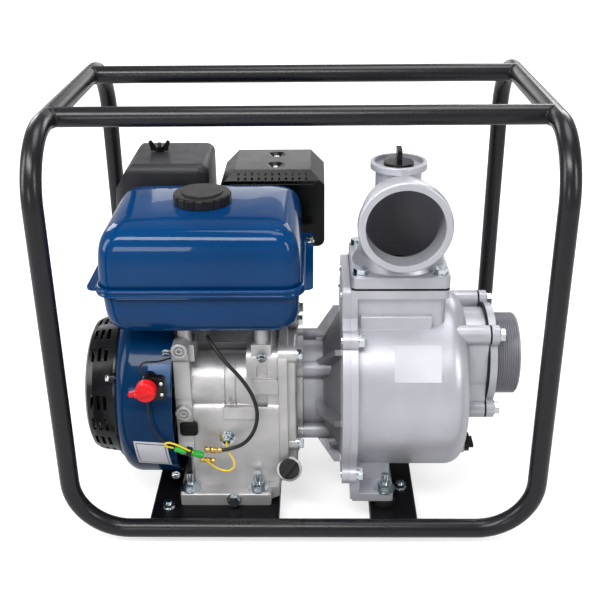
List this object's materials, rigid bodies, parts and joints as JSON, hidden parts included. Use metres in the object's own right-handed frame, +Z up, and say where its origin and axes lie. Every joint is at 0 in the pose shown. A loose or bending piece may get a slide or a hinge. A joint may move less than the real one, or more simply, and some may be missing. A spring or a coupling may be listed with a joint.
{
  "type": "gas engine trash pump",
  "caption": "Petrol engine water pump in a welded black tube frame: blue engine with recoil starter, cast pump drum, threaded suction port and discharge elbow.",
  "frame": {"origin": "on the ground under the middle of the tube frame", "axes": "+X from the recoil starter to the suction port, +Y away from the side with the stop switch and discharge mouth, +Z up"},
  "size_m": [0.64, 0.48, 0.568],
  "materials": {
    "frame_black": "satin black powder coat",
    "plate_black": "satin black paint",
    "rubber": "matte",
    "zinc": "bright zinc plate",
    "cast_aluminium": "die cast, satin",
    "pump_aluminium": "silver painted casting",
    "engine_blue": "gloss blue enamel",
    "tank_blue": "deep gloss blue enamel",
    "black_plastic": "moulded, satin gloss",
    "matte_black": "textured",
    "shield_black": "gloss stove enamel",
    "muffler_steel": "heat dulled",
    "machined_steel": "machined",
    "cast_iron": "as cast",
    "red_plastic": "moulded",
    "wire_black": "cable jacket",
    "wire_yellow": "wire jacket",
    "wire_green": "soft sleeve",
    "filter_foam": "foam and paper",
    "gasket_black": "gasket"
  },
  "bodies": {
    "root": {"frame_left_hoop": "frame_black", "frame_right_hoop": "frame_black", "frame_top_bars": "frame_black", "engine_base_plate": "plate_black", "pump_base_plate": "plate_black", "rubber_feet": "rubber", "foot_bolts": "zinc", "crankcase": "cast_aluminium", "crankcase_side_cover": "cast_aluminium", "engine_bolts": "zinc", "base_mount_bolts": "zinc", "oil_level_switch": "zinc", "cylinder_head": "cast_aluminium", "valve_cover": "muffler_steel", "spark_plug": "machined_steel", "crank_bearings": "machined_steel", "fan_shroud": "engine_blue", "recoil_cover": "black_plastic", "fuel_tank_upper": "tank_blue", "fuel_tank_lower": "tank_blue", "carburetor": "cast_aluminium", "air_cleaner_base": "matte_black", "air_filter_element": "filter_foam", "air_cleaner_cover": "matte_black", "muffler": "muffler_steel", "exhaust_pipe": "muffler_steel", "muffler_shield": "shield_black", "cover_screws": "zinc", "switch_base": "black_plastic", "stop_cable": "wire_black", "sensor_wire": "wire_yellow", "switch_leads": "wire_black", "wire_connectors": "wire_green", "pump_adapter": "pump_aluminium", "pump_casing": "pump_aluminium", "volute": "cast_iron", "suction_gasket": "gasket_black", "suction_flange": "pump_aluminium", "discharge_gasket": "gasket_black", "discharge_elbow": "pump_aluminium", "discharge_flange": "pump_aluminium", "pump_bolts": "zinc", "pump_isolators": "rubber", "shaft_seal": "machined_steel"},
    "crank": {"crankshaft": "machined_steel", "flywheel_fan": "cast_iron", "impeller": "cast_iron"},
    "piston_and_rod": {"piston": "cast_aluminium", "connecting_rod": "cast_aluminium"},
    "starter_pulley": {"recoil_pulley": "black_plastic"},
    "starter_handle": {"starter_grip": "black_plastic"},
    "filler_cap": {"fuel_cap": "black_plastic"},
    "oil_dipstick": {"dipstick": "black_plastic"},
    "priming_cap": {"priming_plug": "black_plastic"},
    "drain_cap": {"pump_drain_plug": "black_plastic"},
    "filter_nut": {"wing_nut": "shield_black"},
    "stop_knob": {"switch_knob": "red_plastic"},
    "choke": {"choke_lever": "zinc"},
    "throttle": {"throttle_lever": "zinc"},
    "suction_flap": {"check_flap": "rubber"}
  },
  "joints": [
    {"name": "crank_spin", "type": "hinge", "parent": "root", "child": "crank", "pos_m": [0, -0.078, 0.1605], "axis": [1, 0, 0], "continuous": true},
    {"name": "piston_stroke", "type": "slide", "parent": "root", "child": "piston_and_rod", "axis": [0, 0.9063, 0.4226], "range_m": [0, 0.058]},
    {"name": "starter_pull", "type": "slide", "parent": "root", "child": "starter_handle", "axis": [0, 1, 0], "range_m": [0, 0.09], "stiffness_N_per_m": 120, "springref_m": -0.08},
    {"name": "starter_pulley_spin", "type": "hinge", "parent": "root", "child": "starter_pulley", "pos_m": [-0.2745, -0.078, 0.1605], "axis": [1, 0, 0], "range_deg": [-104, 0]},
    {"name": "fuel_cap_turn", "type": "hinge", "parent": "root", "child": "filler_cap", "pos_m": [-0.13, -0.076, 0.432], "axis": [0, 0, 1], "range_deg": [0, 90]},
    {"name": "dipstick_turn", "type": "hinge", "parent": "root", "child": "oil_dipstick", "pos_m": [-0.019, -0.171, 0.076], "axis": [0, -0.8192, 0.5736], "continuous": true},
    {"name": "priming_plug_turn", "type": "hinge", "parent": "root", "child": "priming_cap", "pos_m": [0.125, -0.078, 0.48], "axis": [0, 0, 1], "continuous": true},
    {"name": "drain_plug_turn", "type": "hinge", "parent": "root", "child": "drain_cap", "pos_m": [0.225, -0.124, 0.09], "axis": [1, 0, 0], "continuous": true},
    {"name": "wing_nut_turn", "type": "hinge", "parent": "root", "child": "filter_nut", "pos_m": [-0.213, 0.112, 0.449], "axis": [0, 0, 1], "continuous": true},
    {"name": "stop_switch_turn", "type": "hinge", "parent": "root", "child": "stop_knob", "pos_m": [-0.198, -0.211, 0.228], "axis": [0, 1, 0], "range_deg": [0, 60]},
    {"name": "choke_turn", "type": "hinge", "parent": "root", "child": "choke", "pos_m": [-0.181, 0.1036, 0.239], "axis": [0, 1, 0], "range_deg": [0, 70]},
    {"name": "throttle_turn", "type": "hinge", "parent": "root", "child": "throttle", "pos_m": [-0.2, 0.034, 0.2856], "axis": [0, 0, 1], "range_deg": [0, 35]},
    {"name": "suction_flap_swing", "type": "hinge", "parent": "root", "child": "suction_flap", "pos_m": [0.2446, -0.078, 0.2635], "axis": [0, 1, 0], "range_deg": [0, 50]}
  ],
  "couplings": [
    {"joint": "starter_pulley_spin", "follows": "starter_pull", "rad_per_m": -20}
  ]
}
